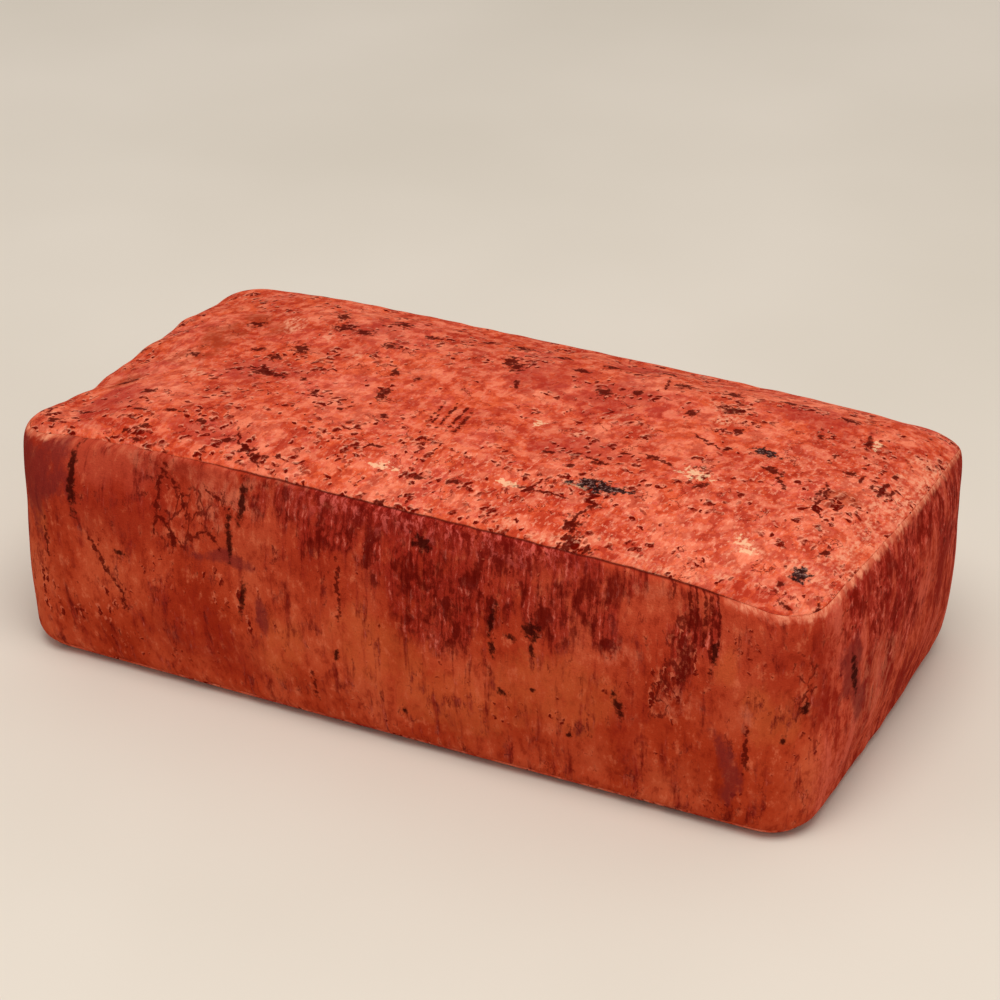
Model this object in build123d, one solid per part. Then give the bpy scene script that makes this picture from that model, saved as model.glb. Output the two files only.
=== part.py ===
"""A brick-shaped stuffed cushion: three printed fabric panels sewn round a foam block wrapped in fibre wadding.

Frame: +X along the length, +Y towards the back, +Z up. The origin is under the middle of the bounding box, on the
surface that the cushion rests on. Millimetres. Each sub-part is written to parts/NODE.step.
"""
import os
from math import acos, atan2, degrees, sqrt

from build123d import *

# --- driving dimensions: the stuffed shape --------------------------------------------------------------------
LENGTH = 240.0  # between the corners of the two ends
WIDTH = 129.0  # between the corners of the front and back
CORNER_RADIUS = 13.0  # of the four upright corners, in plan
FRONT_BOW = 1.6  # how far the stuffing pushes each side out at its middle
RIGHT_BOW = 6.0
BACK_BOW = 0.6
LEFT_BOW = 0.6
TOP_MIDDLE = 78.0  # height of the top face in the middle
TOP_FRONT = 74.0  # and half way along the front edge
TOP_BACK = 67.0  # and half way along the back edge
LENGTH_SAG = 7.0  # how much lower the top face is at the ends than in the middle
TOP_RIM = 4.0  # rounding of the edge that carries the top seam
BOTTOM_RIM = 7.0  # rounding of the edge that carries the bottom seam

# --- driving dimensions: cloth, thread and filling ------------------------------------------------------------
FABRIC = 1.0  # short-pile fabric
SEAM_ALLOWANCE = 8.0  # how deep the edges of the two panels are turned in
JOIN_ALLOWANCE = 5.0  # how deep the band's two ends are turned in
TOP_SEAM_INSET = 1.5  # of the top seam line from the cushion's side
BOTTOM_SEAM_INSET = 2.0
WADDING = 4.0  # fibre layer between the turned-in edges and the foam
THREAD = 0.5
STITCH_PITCH = 3.2
STITCH_LENGTH = 2.6
STITCH_DEPTH = 1.5  # of the machine stitches under the fabric
CLEARANCE = 0.15  # round a machine stitch
JOIN_X = -88.0  # where the band's two ends meet, on the back
JOIN_SLIT = 0.1
CLOSING_START = -20.0  # the stretch of the back bottom seam that is closed by hand after stuffing
CLOSING_END = 50.0
CLOSING_PITCH = 5.0
LADDER_LENGTH = 3.0  # of a hand stitch across the seam
LADDER_GAP = 0.02  # between a hand stitch and the fabric that it lies on

# --- places worked out from them ------------------------------------------------------------------------------
CENTRE_X = (LEFT_BOW - RIGHT_BOW) / 2  # puts the origin under the middle of the bounding box
CENTRE_Y = (FRONT_BOW - BACK_BOW) / 2
LAYERS = 3 * FABRIC  # the band, its turned-in edge and a panel's turned-in edge
CORE_INSET = LAYERS + WADDING
CHANNEL = LAYERS + THREAD + 2 * CLEARANCE  # inner side of the room left for machine stitches
TOP_STITCH_DROP = FABRIC + TOP_RIM / 2 + STITCH_DEPTH  # of the top row, under the top face
BOTTOM_STITCH_Z = FABRIC + BOTTOM_RIM / 2 + STITCH_DEPTH
LENGTH_RADIUS = ((LENGTH / 2) ** 2 + LENGTH_SAG**2) / (2 * LENGTH_SAG)  # of the top face along the length
FAR_AXIS_Z = TOP_MIDDLE - LENGTH_RADIUS
CROWN_TURN = 24.0  # degrees that the top face's arc is swept, more than the length needs
BELOW = -10.0  # a level under everything
ABOVE = 2 * TOP_MIDDLE  # a level over everything
HALF_WAY = TOP_MIDDLE / 2
ACROSS = ThreePointArc((0, -WIDTH / 2, TOP_FRONT), (0, 0, TOP_MIDDLE), (0, WIDTH / 2, TOP_BACK))
ARC_CENTRE = ACROSS.arc_center
ARC_RADIUS = ACROSS.radius


# --- the shape ------------------------------------------------------------------------------------------------
def outline(inset=0.0):
    """The cushion's plan as a face of arcs: four bowed sides with rounded corners, moved in by inset."""
    a, b = LENGTH / 2, WIDTH / 2
    corners = [(-a, -b), (a, -b), (a, b), (-a, b)]
    middles = [(0, -b - FRONT_BOW), (a + RIGHT_BOW, 0), (0, b + BACK_BOW), (-a - LEFT_BOW, 0)]
    sides = [ThreePointArc(corners[i], middles[i], corners[(i + 1) % 4]) for i in range(4)]
    face = make_face(sides)
    face = Pos(CENTRE_X, CENTRE_Y) * fillet(face.vertices(), CORNER_RADIUS)
    if inset:
        moved = offset(face, amount=-inset).edges()
        face = make_face([ThreePointArc(edge @ 0, edge @ 0.5, edge @ 1) for edge in moved])
    return face.faces()[0]


def prism(inset, low, high):
    """The plan, moved in, between two levels."""
    return Pos(0, 0, low) * extrude(outline(inset), high - low)


def ring(outer, inner, low=BELOW, high=ABOVE):
    """A wall that follows the plan between two insets."""
    return prism(outer, low, high) - prism(inner, low, high)


def arc_height(y):
    """Level of the top face's arc across the width, in the middle of the length."""
    return ARC_CENTRE.Z + sqrt(ARC_RADIUS**2 - (y - ARC_CENTRE.Y) ** 2)


def crown_height(x, y):
    """Level of the top face, which is that arc swept about a far axis along Y."""
    return FAR_AXIS_Z + sqrt((arc_height(y) - FAR_AXIS_Z) ** 2 - x**2)


def crown(drop=0.0):
    """Everything under the top face, lowered by drop."""
    reach = WIDTH
    low, high = (0, -reach, arc_height(-reach)), (0, reach, arc_height(reach))
    top = ThreePointArc(low, (0, 0, TOP_MIDDLE), high)
    rest = Polyline(high, (0, reach, BELOW - drop), (0, -reach, BELOW - drop), low)
    section = make_face([top, rest])
    far_axis = Axis((0, 0, FAR_AXIS_Z), (0, 1, 0))
    swept = revolve(section.rotate(far_axis, -CROWN_TURN / 2), far_axis, CROWN_TURN)
    return Pos(0, 0, -drop) * swept


def form(inset, top_rim, bottom_rim):
    """The stuffed shape with every face moved in by inset."""
    body = (prism(inset, inset, ABOVE) & crown(inset)).solids()[0]
    bottom = body.faces().sort_by(Axis.Z)[0]
    body = fillet(bottom.edges(), bottom_rim).solids()[0]
    top = body.faces().sort_by(Axis.Z)[-1]
    return fillet(top.edges(), top_rim).solids()[0]


def largest(shape):
    """The one solid of a piece, without slivers that a cut leaves."""
    return shape.solids().sort_by(SortBy.VOLUME)[-1]


OUTER = form(0.0, TOP_RIM, BOTTOM_RIM)
INNER = form(FABRIC, TOP_RIM - FABRIC, BOTTOM_RIM - FABRIC)
CORE = form(CORE_INSET, TOP_RIM / 2, BOTTOM_RIM / 2)
SHELL = OUTER - INNER
TOP_ZONE = prism(TOP_SEAM_INSET, HALF_WAY, ABOVE)  # inside the top seam line
BOTTOM_ZONE = prism(BOTTOM_SEAM_INSET, BELOW, HALF_WAY)
UNDER_TOP = INNER - crown(FABRIC + SEAM_ALLOWANCE)  # the depth that the top seam's edges are turned in
OVER_BOTTOM = INNER & prism(0, FABRIC, FABRIC + SEAM_ALLOWANCE)
BAND_EDGE = ring(FABRIC, 2 * FABRIC)  # the band's own turned-in edge
PANEL_EDGE = ring(2 * FABRIC, LAYERS)  # the panels' turned-in edges, inside it


# --- the fabric -----------------------------------------------------------------------------------------------
def top_panel():
    return largest((SHELL & TOP_ZONE) + (PANEL_EDGE & UNDER_TOP))


def bottom_panel():
    return largest((SHELL & BOTTOM_ZONE) + (PANEL_EDGE & OVER_BOTTOM))


def back_side(x):
    """Y of the cushion's back at x, on its shallow bow."""
    return CENTRE_Y + WIDTH / 2 + BACK_BOW * (1 - ((x - CENTRE_X) / (LENGTH / 2)) ** 2)


def join_block(width, depth, low=BELOW, high=ABOVE):
    """A block across the back wall at the band's join, reaching depth inside the fabric."""
    outside = back_side(JOIN_X) + FABRIC
    inside = back_side(JOIN_X) - FABRIC - depth
    return Pos(JOIN_X, (outside + inside) / 2, (low + high) / 2) * Box(width, outside - inside, high - low)


def join_levels():
    """Where the join's turned-in ends lie, clear of those of the two seams."""
    clear = FABRIC + SEAM_ALLOWANCE
    return 2 * clear, crown_height(JOIN_X, back_side(JOIN_X)) - 2 * clear


def join_edges():
    """The band's two turned-in ends, back to back, with the slit between them."""
    low, high = join_levels()
    return (join_block(2 * FABRIC + JOIN_SLIT, JOIN_ALLOWANCE, low, high) & INNER) - join_block(JOIN_SLIT, ABOVE)


def side_band():
    """One strip round all four sides, with its two ends turned in on the back."""
    strip = SHELL - TOP_ZONE - BOTTOM_ZONE
    strip = strip + (BAND_EDGE & UNDER_TOP) + (BAND_EDGE & OVER_BOTTOM)
    strip = strip - join_block(JOIN_SLIT, 2 * FABRIC)
    return largest(strip + join_edges())


# --- the filling ----------------------------------------------------------------------------------------------
def seam_room():
    """The space inside the fabric that the turned-in edges and the machine stitches take."""
    edges = (ring(FABRIC, LAYERS) & UNDER_TOP) + (ring(FABRIC, LAYERS) & OVER_BOTTOM)
    reach = THREAD / 2 + 2 * STITCH_LENGTH * LENGTH_SAG / LENGTH + CLEARANCE  # the top row follows a slope
    wall = ring(LAYERS, CHANNEL)
    top_row = (wall & crown(TOP_STITCH_DROP - reach)) - crown(TOP_STITCH_DROP + reach)
    bottom_row = ring(LAYERS, CHANNEL, BOTTOM_STITCH_Z - reach, BOTTOM_STITCH_Z + reach)
    join = join_block(2 * (FABRIC + THREAD + CLEARANCE) + JOIN_SLIT, JOIN_ALLOWANCE, *join_levels())
    return [edges, top_row, bottom_row, join]


def wadding():
    """What lies between the fabric and the foam: a wrap round the girth, and a pad at each end."""
    layer = INNER - CORE
    for room in seam_room():
        layer = layer - room
    girth = Pos(CENTRE_X, 0, 0) * Box(LENGTH - 2 * CORE_INSET, 2 * WIDTH, 2 * ABOVE)
    wrap = largest(layer & girth)
    pads = (layer - girth).solids().sort_by(SortBy.VOLUME)[-2:]
    left, right = pads.sort_by(Axis.X)
    return wrap, left, right


# --- the thread -----------------------------------------------------------------------------------------------
def stitch_row(level):
    """Machine stitches round the inner face of a seam's turned-in edges. level(x, y) gives their height."""
    path = outline(LAYERS + CLEARANCE + THREAD / 2).outer_wire()
    count = round(path.length / STITCH_PITCH)
    row = []
    for i in range(count):
        share = (i + 0.5) / count
        at, along = path.position_at(share), path.tangent_at(share)
        turn = degrees(atan2(along.Y, along.X))
        row.append(Pos(at.X, at.Y, level(at.X, at.Y)) * Rot(0, 0, turn) * Box(STITCH_LENGTH, THREAD, THREAD))
    return Compound(row)


def top_seam_stitches():
    return stitch_row(lambda x, y: crown_height(x, y) - TOP_STITCH_DROP)


def bottom_seam_stitches():
    return stitch_row(lambda x, y: BOTTOM_STITCH_Z)


def band_join_stitches():
    """An upright row of machine stitches on one face of the join's turned-in ends."""
    low, high = join_levels()
    count = int((high - low) / STITCH_PITCH)
    x = JOIN_X + FABRIC + (JOIN_SLIT + THREAD + CLEARANCE) / 2
    y = back_side(JOIN_X) - FABRIC - STITCH_DEPTH
    piece = Box(THREAD, THREAD, STITCH_LENGTH)
    return Compound([Pos(x, y, low + (i + 0.5) * STITCH_PITCH) * piece for i in range(count)])


def closing_stitches():
    """Short hand stitches across the outside of the back bottom seam, on the rounding of the bottom edge."""
    slope = (BOTTOM_RIM - BOTTOM_SEAM_INSET) / BOTTOM_RIM  # cosine of the seam's place on the rounding
    reach = BOTTOM_RIM + THREAD / 2 + LADDER_GAP
    z = BOTTOM_RIM - reach * sqrt(1 - slope**2)
    piece = Rot(-degrees(acos(slope)), 0, 0) * Cylinder(THREAD / 2, LADDER_LENGTH)
    count = int((CLOSING_END - CLOSING_START) / CLOSING_PITCH)
    row = []
    for i in range(count):
        x = CLOSING_START + (i + 0.5) * CLOSING_PITCH
        y = back_side(x) - BOTTOM_RIM + reach * slope
        row.append(Pos(x, y, z) * piece)
    return Compound(row)


def write(name, shape):
    export_step(shape, f"parts/{name}.step")
    print(name, len(shape.solids()), "solids", round(shape.volume, 1), "mm3", shape.is_valid)


if __name__ == "__main__":
    os.makedirs("parts", exist_ok=True)
    write("top_panel", top_panel())
    write("bottom_panel", bottom_panel())
    write("side_band", side_band())
    wrap, left, right = wadding()
    write("foam_core", CORE)
    write("wadding_wrap", wrap)
    write("wadding_left_end", left)
    write("wadding_right_end", right)
    write("top_seam_stitches", top_seam_stitches())
    write("bottom_seam_stitches", bottom_seam_stitches())
    write("band_join_stitches", band_join_stitches())
    write("closing_stitches", closing_stitches())
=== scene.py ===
"""A brick-shaped stuffed cushion: its printed cover, filling and stitches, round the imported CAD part."""

import math

import bpy
import numpy as np
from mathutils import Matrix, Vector

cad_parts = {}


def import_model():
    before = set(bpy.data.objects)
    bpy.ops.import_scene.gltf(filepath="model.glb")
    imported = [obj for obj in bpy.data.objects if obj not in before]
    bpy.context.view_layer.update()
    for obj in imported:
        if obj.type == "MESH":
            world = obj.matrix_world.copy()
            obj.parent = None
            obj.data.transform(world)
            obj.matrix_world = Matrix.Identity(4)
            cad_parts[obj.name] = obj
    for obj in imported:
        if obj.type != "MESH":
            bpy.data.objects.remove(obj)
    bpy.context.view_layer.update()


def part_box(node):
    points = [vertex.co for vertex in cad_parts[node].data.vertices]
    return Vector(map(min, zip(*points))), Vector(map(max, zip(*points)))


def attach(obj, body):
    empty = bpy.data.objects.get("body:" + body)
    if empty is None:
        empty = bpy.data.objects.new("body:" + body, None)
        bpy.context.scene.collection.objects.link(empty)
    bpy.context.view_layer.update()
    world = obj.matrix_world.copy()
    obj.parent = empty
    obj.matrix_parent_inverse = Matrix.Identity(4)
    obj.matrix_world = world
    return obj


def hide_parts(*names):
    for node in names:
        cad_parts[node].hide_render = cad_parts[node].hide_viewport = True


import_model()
MM = 0.001

# --- the stuffed shape, in millimetres ---
CAD_BOW_FRONT, CAD_BOW_RIGHT, CAD_BOW_BACK, CAD_BOW_LEFT = 1.6, 6, 0.6, 0.6
band_low, band_high = (np.array(corner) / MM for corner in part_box("side_band"))
HALF_L = (band_high[0] - band_low[0] - CAD_BOW_RIGHT - CAD_BOW_LEFT) / 2
HALF_W = (band_high[1] - band_low[1] - CAD_BOW_FRONT - CAD_BOW_BACK) / 2
CENTRE = np.array([
    (band_low[0] + band_high[0] - CAD_BOW_RIGHT + CAD_BOW_LEFT) / 2,
    (band_low[1] + band_high[1] + CAD_BOW_FRONT - CAD_BOW_BACK) / 2,
    0,
])
CORNER = 13  # rounding of the upright corners, in plan
BOWS = {"front": 1.6, "right": 6, "back": -0.6, "left": -1}  # of the seam lines, outwards
HEIGHTS = {"front_left": 69.1, "back_left": 62.5, "back_right": 61.2, "front_right": 67}  # of the top seam
RISES = {"front": 7.3, "right": 8.5, "back": 3.9, "left": -1.1}  # of the seam in the middle of each side
CROWN = 1.2  # more height in the middle of the top panel
LIP = 1.5  # how far the top panel rises just inside its seam
BULGE = 1.2  # of the sides, half way up
BOTTOM_RIM = 7
BOTTOM_SEAM = 2  # how far in from the side the bottom seam lies, on the rounding
BOTTOM_INSET = 0.55
BOTTOM_BOW = 0.4  # how much of the sides' bow the bottom has
BAND_HEIGHT = 70  # of the flat fabric strip
JOIN_U = -88 / 120  # where the band's ends meet, on the back
JOIN_TUCK, JOIN_GAP = 0.6, 0.06
FABRIC = 1
# y, height and width of the bumps and dents along the left top edge
LEFT_BUMPS = [(-51, 1.9, 9), (-24, -1.4, 6), (8, 1, 7), (29, 1.6, 8), (51, -1, 6)]
TUCK, BOTTOM_TUCK = 0.45, 0.5  # how far the seams draw the fabric in
PUCKER = 0.3  # height of the small waves beside a seam
ROLL = 1  # how far the band rolls over the top edge at most
NEAR_SEAM = np.array([0, 0.45, 0.9, 1.4, 2, 2.8, 3.8, 5])  # where the mesh has its lines beside a seam
EVEN_FROM = 6.5  # and where its even spacing starts


def bottom_round(inset):
    """Height of the rounded bottom edge at an inset."""
    reach = np.clip(BOTTOM_RIM - inset, 0, BOTTOM_RIM)
    return BOTTOM_RIM - np.sqrt(BOTTOM_RIM**2 - reach**2)


BOTTOM_SEAM_Z = float(bottom_round(BOTTOM_SEAM))


def shares(x, y):
    """A plan position as shares of the way from the middle (0) to the sides (-1 and 1)."""
    return np.clip(x / HALF_L, -1, 1), np.clip(y / HALF_W, -1, 1)


def plan(u, v, out, bow_share=1):
    """Plan position of u, v (-1 to 1) on the bowed, rounded rectangle grown by out."""
    u, v, out = np.broadcast_arrays(u, v, out)
    a, b, r = HALF_L + out, HALF_W + out, CORNER + out
    x, y = a * u, b * v
    px, py = np.abs(x) - (a - r), np.abs(y) - (b - r)
    corner = (px > 0) & (py > 0)
    pull = np.where(corner, np.maximum(px, py) / np.maximum(np.hypot(px, py), 1e-9), 1)
    x = np.where(corner, np.sign(x) * (a - r + px * pull), x)
    y = np.where(corner, np.sign(y) * (b - r + py * pull), y)
    xh, yh = shares(x, y)
    dy = BOWS["back"] * (1 + yh) / 2 - BOWS["front"] * (1 - yh) / 2
    dx = BOWS["right"] * (1 + xh) / 2 - BOWS["left"] * (1 - xh) / 2
    return x + bow_share * dx * (1 - yh**2), y + bow_share * dy * (1 - xh**2)


def seam_height(x, y):
    """Height of the top seam's level."""
    xh, yh = shares(x, y)
    u, v = (xh + 1) / 2, (yh + 1) / 2
    low = HEIGHTS["front_left"] * (1 - u) + HEIGHTS["front_right"] * u
    high = HEIGHTS["back_left"] * (1 - u) + HEIGHTS["back_right"] * u
    along = (1 - np.abs(xh) ** 4) * (RISES["front"] * (1 - v) + RISES["back"] * v)
    across = (1 - np.abs(yh) ** 2.5) * (RISES["left"] * (1 - u) + RISES["right"] * u)
    z = low * (1 - v) + high * v + along + across
    for place, rise, width in LEFT_BUMPS:
        z = z + rise * np.exp(-(((y - place) / width) ** 2)) * np.exp(-np.clip(x + HALF_L, 0, None) / 12)
    return z


def waves(x, y, length, seed):
    """A smooth irregular relief, about -1 to 1, with hills about length wide."""
    draw = np.random.RandomState(seed)
    total = np.zeros(np.broadcast(x, y).shape)
    for _ in range(7):
        turn, phase = draw.uniform(0, math.pi), draw.uniform(0, 2 * math.pi)
        pitch = length * draw.uniform(0.75, 1.4)
        total += np.sin(2 * math.pi * (x * math.cos(turn) + y * math.sin(turn)) / pitch + phase)
    return total / 4


def crowned(x, y):
    """Height of the plain top surface."""
    xh, yh = shares(x, y)
    return seam_height(x, y) + CROWN * (1 - xh**2) * (1 - yh**2)


def groove(distance):
    """The share of a seam's tuck at a distance from it."""
    return np.exp(-((distance / 0.6) ** 2))


def fade(distance, reach):
    """1 at a seam, dying away over about the reach."""
    return np.exp(-distance / reach)


def gathers(along, seed):
    """Small puckers along a seam, stronger in places."""
    strength = 0.6 + 0.4 * waves(along, 0 * along, 50, seed + 9)
    return waves(along, 0 * along + 3 * seed, 8, seed) * strength


def ring_distance(u, v):
    """Distance of a panel's point from its own seam."""
    return np.minimum(HALF_L * (1 - np.abs(u)), HALF_W * (1 - np.abs(v)))


def edge_position(u, v):
    """A coordinate along the nearest edge, for the puckers of a panel."""
    nearer_end = HALF_L * (1 - np.abs(u)) < HALF_W * (1 - np.abs(v))
    return np.where(nearer_end, HALF_W * v + 500 * np.sign(u), HALF_L * u + 900 * np.sign(v))


def straight_part(u, v):
    """1 along the straight edges, falling to 0 in the rounded corners."""
    from_corner = np.maximum(HALF_L * (1 - np.abs(u)), HALF_W * (1 - np.abs(v)))
    return np.clip((from_corner - CORNER) / 8, 0, 1)


def seam_puckers(u, v):
    return gathers(edge_position(u, v), 5) * straight_part(u, v)


def rolled(u, v):
    """How far the band rolls over the top edge: most at the front's ends, least on the right."""
    front = np.clip((np.abs(u + 0.04) - 0.5) / 0.3, 0, 1) * np.clip(1 - 4 * v, 0, 4) / 4
    right = np.clip(u - 0.6, 0, 0.4) * np.clip(v + 1, 0, 0.5)
    return ROLL * np.clip(front - 0.25 * np.clip(v + 1, 0, 0.4), 0, 1) - 0.5 * right


def tuck(u):
    """How deep the top seam is drawn in: fully in the middle, hardly at all near the ends."""
    return 0.15 + 0.85 * np.clip((0.92 - u) / 0.14, 0, 1) * np.clip((u + 0.76) / 0.4, 0, 1)


def top_points(u, v, detail=1):
    """Points of the top panel's outside, plain when detail is 0."""
    d = ring_distance(u, v)
    tucked = TUCK * detail * groove(d) * tuck(u)
    x, y = plan(u, v, 0)
    z = crowned(x, y) + LIP * (1 - fade(d, 4))
    z = z + detail * (0.7 * waves(x, y, 62, 3) + 0.28 * waves(x, y, 24, 4)) * (1 - fade(d, 7))
    z = z + detail * PUCKER * seam_puckers(u, v) * fade(d, 3.5)
    x, y = plan(u, v, -0.5 * fade(d, 3) - rolled(u, v) * fade(d, 9) - tucked)
    return np.stack([x, y, z - tucked], -1)


def bottom_points(u, v, detail=1):
    """The same for the bottom panel."""
    d = ring_distance(u, v)
    x, y = plan(u, v, -BOTTOM_INSET - BOTTOM_SEAM - BOTTOM_TUCK * detail * groove(d), BOTTOM_BOW)
    z = bottom_round(BOTTOM_SEAM + d) + 0.4 * detail * groove(d)
    return np.stack([x, y, z], -1)


def band_points(u, v, along, share, detail=1):
    """Points of the side band: u, v on the plan's edge, along it, and share of the way up."""
    top = seam_height(*plan(u, v, 0))
    z = BOTTOM_SEAM_Z + (top - BOTTOM_SEAM_Z) * share
    over, under = top - z, z - BOTTOM_SEAM_Z
    out = BULGE * 4 * share * (1 - share) - BOTTOM_INSET * (1 - share)
    out = out - bottom_round(z)
    out = out + 0.7 * share - 1.2 * fade(over, 2) - rolled(u, v) * fade(over, 1.6)
    free = (1 - fade(over, 6)) * (1 - fade(under, 6))
    out = out + detail * free * (0.55 * waves(along, z, 55, 11) + 0.22 * waves(along, z, 22, 12))
    puckers = fade(over, 4) * gathers(along, 14) * (1 - groove(over)) + fade(under, 4) * gathers(along, 15)
    out = out + detail * 0.28 * puckers * straight_part(u, v)
    tucked = TUCK * groove(over) * tuck(u)
    out = out - detail * (tucked + BOTTOM_TUCK * groove(under))
    x, y = plan(u, v, out, BOTTOM_BOW + (1 - BOTTOM_BOW) * share)
    lift = 0.4 * groove(under) - tucked + PUCKER * seam_puckers(u, v) * fade(over, 3.5)
    return np.stack([x, y, z + detail * lift], -1)


def level(u, v, w, inset):
    """Points of the plain shape moved in by the inset, from w = -1 (bottom) to 1 (top)."""
    share = (w + 1) / 2 + 0 * u
    x, y = plan(u, v, -inset - bottom_round(60 * share), BOTTOM_BOW + (1 - BOTTOM_BOW) * share)
    top = crowned(x, y) - inset
    return np.stack([x, y, inset + (top - inset) * share], -1)


def knots(half, spacing):
    """Places from -half to half, even in the middle and closer together at both ends."""
    count = round(2 * (half - EVEN_FROM) / spacing)
    even = np.linspace(EVEN_FROM - half, half - EVEN_FROM, count + 1)
    return np.concatenate([NEAR_SEAM - half, even, half - NEAR_SEAM[::-1]])


def edge_loop(spacing):
    """u, v and distance round the plan's edge, anticlockwise from the band's join."""
    xs = knots(HALF_L, spacing) / HALF_L
    ys = knots(HALF_W, spacing) / HALF_W
    join = JOIN_U - NEAR_SEAM[6::-1] / HALF_L
    clear = (xs < join[0] - 0.004) | (xs > 2 * JOIN_U - join[0] + 0.004)
    back = np.sort(np.concatenate([xs[clear], join, 2 * JOIN_U - join[:-1]]))[::-1]
    start = int(np.argmin(np.abs(back - JOIN_U)))
    u = [back[start:], -np.ones(len(ys) - 1), xs[1:], np.ones(len(ys) - 1), back[1 : start + 1]]
    v = [np.ones(len(back) - start), ys[-2::-1], -np.ones(len(xs) - 1), ys[1:], np.ones(start)]
    u, v = np.concatenate(u), np.concatenate(v)
    x, y = plan(u, v, 0)
    steps = np.hypot(np.diff(x), np.diff(y))
    along = np.concatenate([[0], np.cumsum(steps)])
    front = (v == -1) & (np.abs(u) < 0.5)
    return u, v, along - np.interp(0, u[front], along[front])


# --- mesh building ---
def grid_faces(rows, columns, flip=False):
    """The quads of a grid, facing up, or down when flipped."""
    i, j = np.meshgrid(np.arange(rows - 1), np.arange(columns - 1), indexing="ij")
    a = (i * columns + j).ravel()
    quads = np.stack([a, a + columns, a + columns + 1, a + 1], -1)
    return quads[:, ::-1] if flip else quads


def walk_round(table):
    """A grid's edge entries, anticlockwise from its first corner."""
    return np.concatenate([table[:-1, 0], table[-1, :-1], table[:0:-1, -1], table[0, :0:-1]])


def closed_box(cells, place):
    """Points and quads of a closed box; place(u, v, w) gives the points of one level w."""
    counts = [np.linspace(-1, 1, cell + 1) for cell in cells]
    u, v = np.meshgrid(counts[0], counts[1], indexing="ij")
    top = np.arange(u.size).reshape(u.shape)
    ring = walk_round(top)
    points = [place(u, v, 1).reshape(-1, 3), place(u, v, -1).reshape(-1, 3)]
    points += [place(u.ravel()[ring], v.ravel()[ring], w) for w in counts[2][1:-1]]
    between = 2 * u.size + np.arange((cells[2] - 1) * len(ring)).reshape(-1, len(ring))
    rows = np.vstack([ring + u.size, between, ring])
    faces = [grid_faces(*u.shape), grid_faces(*u.shape, True) + u.size, wall_faces(rows)]
    return np.concatenate(points), np.concatenate(faces), rows


def wall_faces(rows):
    """The quads between neighbour rows of point numbers, each row a closed ring."""
    after = np.roll(rows, -1, axis=-1)
    quads = [rows[..., :-1, :], after[..., :-1, :], after[..., 1:, :], rows[..., 1:, :]]
    return np.stack(quads, -1).reshape(-1, 4)


def placed(name, data):
    """An object in the scene."""
    made = bpy.data.objects.new(name, data)
    bpy.context.scene.collection.objects.link(made)
    return made


def mesh_object(name, points, faces, fields=None):
    """An object from points in mm, in the shape's own frame, with named vectors stored at them."""
    mesh = bpy.data.meshes.new(name)
    mesh.from_pydata(((points + CENTRE) * MM).tolist(), [], [list(map(int, face)) for face in faces])
    for field, vectors in (fields or {}).items():
        mesh.attributes.new(field, "FLOAT_VECTOR", "POINT").data.foreach_set("vector", vectors.ravel())
    mesh.shade_smooth()
    mesh.update()
    return placed(name, mesh)


def thicken(piece):
    """Gives a sheet its thickness, on its inner side."""
    solid = piece.modifiers.new("thickness", "SOLIDIFY")
    solid.thickness, solid.offset = FABRIC * MM, -1


# --- the stuffing's push, by cloth simulation ---
CELLS = (48, 26, 14)  # about 5 mm each
SLACK = 0.009  # how much larger the cloth is cut than the shape
MOST = 1.9  # mm that a point may move
STEPS = 20
CLOTH = {
    "quality": 7, "mass": 0.2, "air_damping": 2, "tension_stiffness": 18, "compression_stiffness": 18,
    "shear_stiffness": 6, "bending_stiffness": 0.15, "use_pressure": True, "uniform_pressure_force": 4,
    "shrink_min": -SLACK, "vertex_group_mass": "held",
}


def cover_level(u, v, w):
    """The plain cover at one level: the top panel at 1, the bottom at -1, the band between."""
    if abs(w) == 1:
        return top_points(u, v, 0) if w > 0 else bottom_points(u, v, 0)
    return band_points(u, v, 0 * u, (w + 1) / 2 + 0 * u, 0)


def settle():
    """Blows the cover up between its fixed seams: how far the top's and band's points move."""
    points, faces, rows = closed_box(CELLS, cover_level)
    trial = mesh_object("trial", points, faces)
    size = (CELLS[0] + 1) * (CELLS[1] + 1)
    held = trial.vertex_groups.new(name="held")
    held.add(sorted({*range(size, 2 * size), *rows[-1].tolist()}), 1, "REPLACE")
    cloth = trial.modifiers.new("cloth", "CLOTH")
    for setting, value in CLOTH.items():
        setattr(cloth.settings, setting, value)
    cloth.settings.effector_weights.gravity = 0
    cloth.collision_settings.use_collision = False
    for step in range(1, STEPS + 1):
        bpy.context.scene.frame_set(step)
    shown = trial.evaluated_get(bpy.context.evaluated_depsgraph_get()).data
    places = np.zeros(3 * len(points))
    shown.vertices.foreach_get("co", places)
    move = places.reshape(-1, 3) / MM - CENTRE - points
    bpy.data.objects.remove(trial)
    bpy.context.scene.frame_set(1)
    move *= np.minimum(1, MOST / np.maximum(np.linalg.norm(move, axis=1), 1e-9))[:, None]
    return move[:size].reshape(CELLS[0] + 1, CELLS[1] + 1, 3), move[rows].transpose(1, 0, 2)


def spline(place, count, wrap=False):
    """Neighbours' numbers and smooth weights at places along samples 0 to count."""
    first = np.floor(place).astype(int)
    f = place - first
    weights = [(1 - f) ** 3, 3 * f**3 - 6 * f**2 + 4, 1 + 3 * f + 3 * f**2 - 3 * f**3, f**3]
    near = [first + step for step in (-1, 0, 1, 2)]
    return [(n % count if wrap else np.clip(n, 0, count), weight / 6) for n, weight in zip(near, weights)]


def spread(samples, along, across):
    """The samples' smooth surface at each pair of places."""
    return sum(samples[np.ix_(i, j)] * (a[:, None] * b)[..., None] for i, a in along for j, b in across)


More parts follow.
